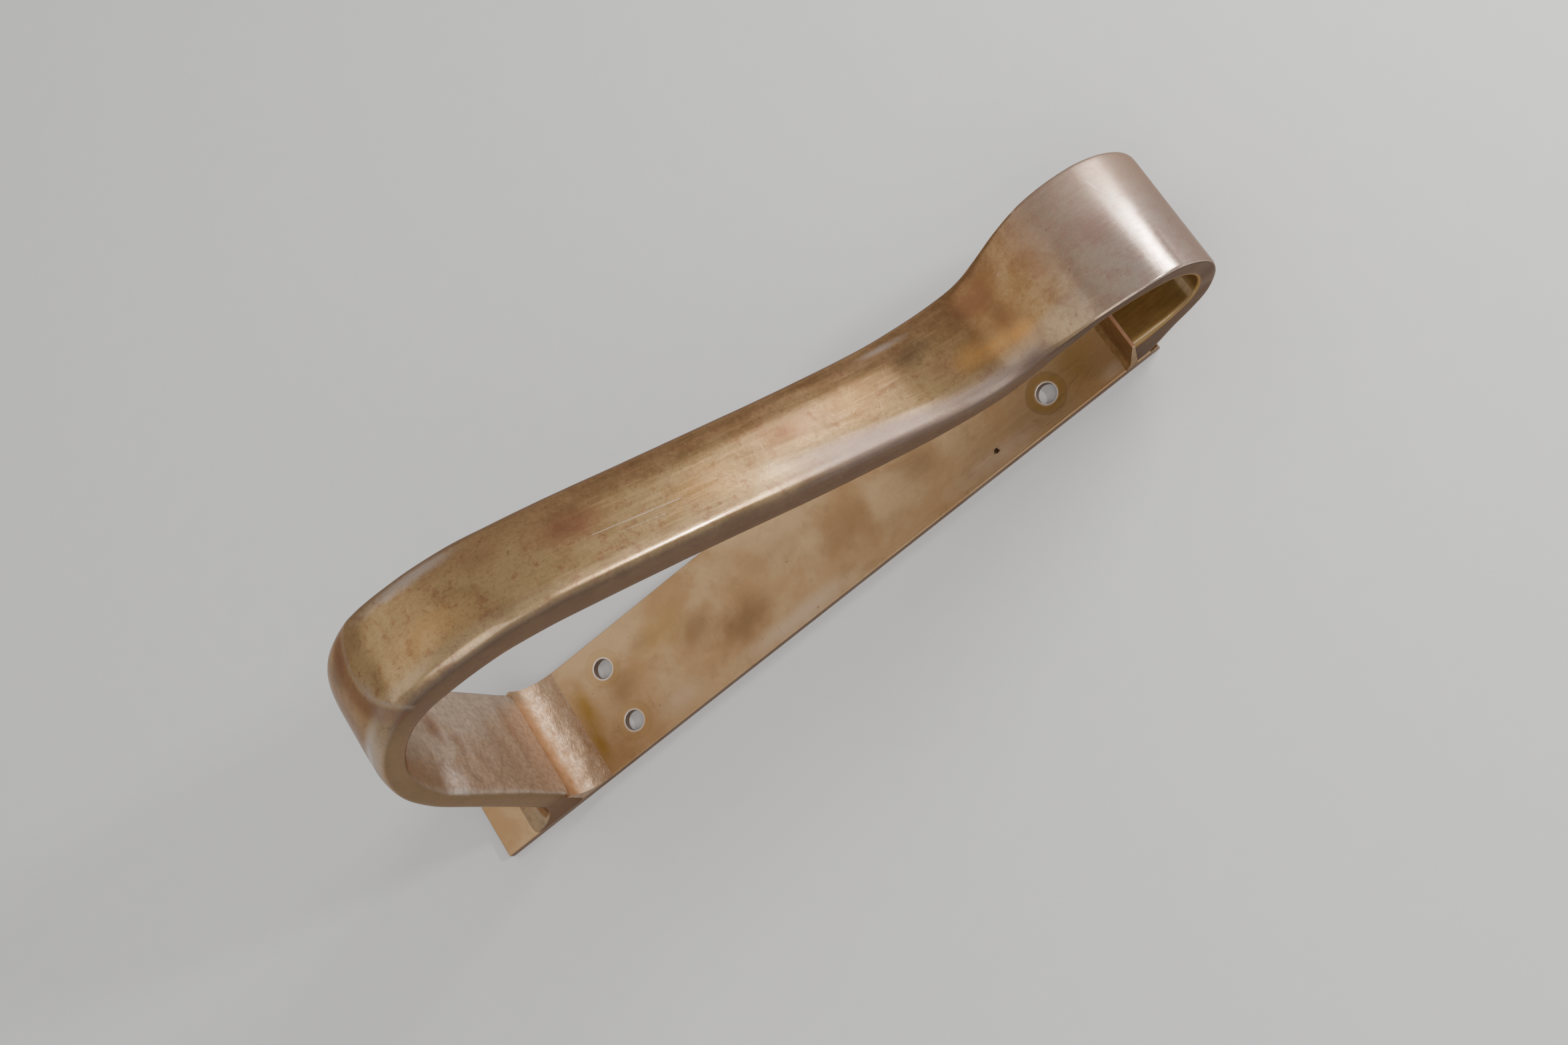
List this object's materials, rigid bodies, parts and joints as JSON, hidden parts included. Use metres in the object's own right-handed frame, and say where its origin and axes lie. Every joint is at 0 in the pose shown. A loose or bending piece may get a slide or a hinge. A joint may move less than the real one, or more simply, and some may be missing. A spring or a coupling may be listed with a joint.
{
  "type": "grab rail",
  "caption": "Cast bronze grab rail: a handle with a tall leg, a sloping grip and a low loop, brazed to a flat back plate with screw holes.",
  "frame": {"origin": "middle of the four screw holes, on the underside of the plate", "axes": "+X from the tall leg to the low loop, +Y across the plate, +Z away from the surface that the plate is screwed to"},
  "size_m": [0.29, 0.042, 0.1467],
  "materials": {
    "plate_bronze": "Rolled bronze, golden copper with soft brown heat blotches and stains round the holes",
    "cast_bronze": "Cast bronze, hand polished, olive brown with reddish patches and a silvery satin loop",
    "braze": "Bright wrinkled braze metal"
  },
  "bodies": {
    "root": {"base_plate": "plate_bronze", "handle_casting": "cast_bronze", "leg_braze": "braze", "loop_braze": "braze", "heel_braze": "braze"}
  },
  "joints": []
}
